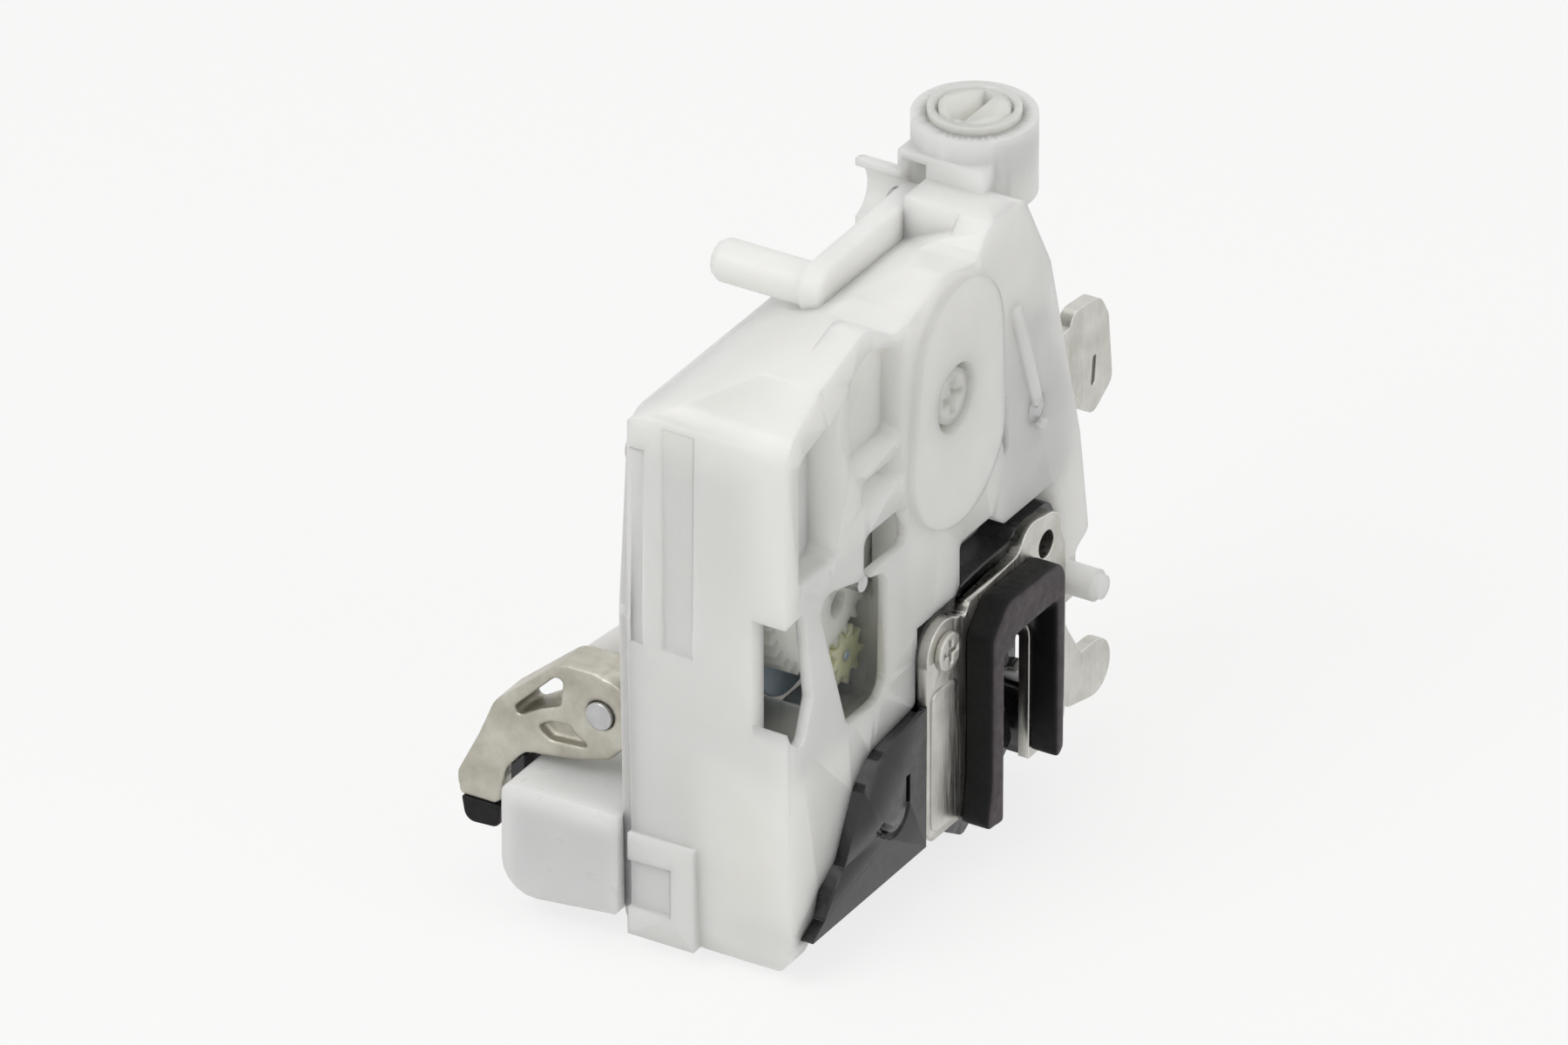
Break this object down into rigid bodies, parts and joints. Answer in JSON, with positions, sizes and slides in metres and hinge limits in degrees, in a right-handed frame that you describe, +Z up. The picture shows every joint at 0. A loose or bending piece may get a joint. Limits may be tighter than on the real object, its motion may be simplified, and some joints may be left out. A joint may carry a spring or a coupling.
{
  "type": "car door lock",
  "caption": "Vehicle door latch: steel face plate with rubber-edged striker mouth, hooked claw and pawl, white actuator housing, key tower, levers and connector",
  "frame": {"origin": "middle of the striker mouth, on the outer face of the steel face plate", "axes": "+X leaves the face plate towards the striker, +Y runs along the face plate away from the connector, +Z is up towards the key tower"},
  "size_m": [0.0748, 0.1086, 0.1222],
  "materials": {
    "housing_plastic": "moulded natural white POM, satin",
    "gear_plastic": "moulded natural acetal, satin",
    "yellow_plastic": "moulded yellow-green acetal, satin",
    "connector_plastic": "moulded white PBT, half gloss",
    "black_plastic": "moulded black nylon, glossy",
    "black_rubber": "moulded EPDM rubber, matt",
    "zinc_plated_steel": "stamped steel, zinc plated",
    "hardened_steel": "hardened steel, fine ground",
    "spring_steel": "drawn spring wire, dark oiled",
    "motor_steel": "bluish plated motor can",
    "cast_zinc": "die-cast zinc, as cast, warm grey",
    "contact_brass": "stamped brass, bright"
  },
  "bodies": {
    "lock_body": {"main_housing": "housing_plastic", "housing_cover": "housing_plastic", "latch_base": "black_plastic", "face_plate": "zinc_plated_steel", "back_plate": "zinc_plated_steel", "mouth_seal": "black_rubber", "striker_buffer": "black_rubber", "claw_pivot": "hardened_steel", "claw_spring": "spring_steel", "pawl_pivot": "hardened_steel", "pawl_spring": "spring_steel", "plate_screw": "zinc_plated_steel", "cover_screws": "zinc_plated_steel", "lock_motor": "motor_steel", "lock_gear_axle": "hardened_steel", "knob_lever_pin": "hardened_steel", "inside_lever_pin": "hardened_steel", "outside_lever_pin": "hardened_steel", "lever_spring": "spring_steel", "connector_hood": "connector_plastic", "terminal_pins": "contact_brass", "contact_strips": "contact_brass", "claw_switch": "black_plastic"},
    "claw_body": {"claw": "hardened_steel", "claw_jacket": "black_plastic"},
    "pawl_body": {"pawl": "hardened_steel", "release_lever": "zinc_plated_steel"},
    "pinion_body": {"drive_pinion": "yellow_plastic"},
    "gear_body": {"lock_gear": "gear_plastic"},
    "sector_body": {"lock_sector": "gear_plastic"},
    "knob_body": {"knob_lever": "housing_plastic"},
    "rotor_body": {"key_rotor": "gear_plastic"},
    "inside_body": {"inside_lever": "zinc_plated_steel"},
    "outside_body": {"outside_lever": "cast_zinc", "lever_bumper": "black_rubber", "rod_clip": "black_plastic"}
  },
  "joints": [
    {"name": "claw_turn", "type": "hinge", "parent": "lock_body", "child": "claw_body", "pos_m": [-0.006, -0.015, 0], "axis": [1, 0, 0], "range_deg": [0, 52], "stiffness_Nm_per_rad": 0.15, "springref_deg": -28.65},
    {"name": "pawl_lift", "type": "hinge", "parent": "lock_body", "child": "pawl_body", "pos_m": [-0.0055, 0.0125, 0.01], "axis": [-1, 0, 0], "range_deg": [0, 7], "stiffness_Nm_per_rad": 0.12, "springref_deg": -28.65},
    {"name": "sector_turn", "type": "hinge", "parent": "lock_body", "child": "sector_body", "pos_m": [-0.0185, -0.0166, 0.0644], "axis": [-1, 0, 0], "range_deg": [0, 24]},
    {"name": "gear_turn", "type": "hinge", "parent": "lock_body", "child": "gear_body", "pos_m": [-0.0155, -0.04288, 0.04205], "axis": [-1, 0, 0], "range_deg": [-190, 5]},
    {"name": "pinion_turn", "type": "hinge", "parent": "lock_body", "child": "pinion_body", "pos_m": [-0.012, -0.0352, 0.0225], "axis": [-1, 0, 0], "range_deg": [-5, 680]},
    {"name": "knob_turn", "type": "hinge", "parent": "lock_body", "child": "knob_body", "pos_m": [-0.021, 0.003, 0.084], "axis": [-1, 0, 0], "range_deg": [0, 18]},
    {"name": "rotor_turn", "type": "hinge", "parent": "lock_body", "child": "rotor_body", "pos_m": [-0.016, 0.015, 0.094], "axis": [0, 0, 1], "range_deg": [-70, 70]},
    {"name": "inside_pull", "type": "hinge", "parent": "lock_body", "child": "inside_body", "pos_m": [-0.0058, 0.012, 0.048], "axis": [1, 0, 0], "range_deg": [0, 20], "stiffness_Nm_per_rad": 0.06, "springref_deg": -28.65},
    {"name": "outside_pull", "type": "hinge", "parent": "lock_body", "child": "outside_body", "pos_m": [-0.042, -0.056, 0.014], "axis": [0, 1, 0], "range_deg": [0, 25], "stiffness_Nm_per_rad": 0.12, "springref_deg": -28.65}
  ],
  "couplings": [
    {"joint": "gear_turn", "follows": "sector_turn", "ratio": -7.625},
    {"joint": "pinion_turn", "follows": "sector_turn", "ratio": 27.958},
    {"joint": "knob_turn", "follows": "sector_turn", "ratio": 0.75}
  ]
}
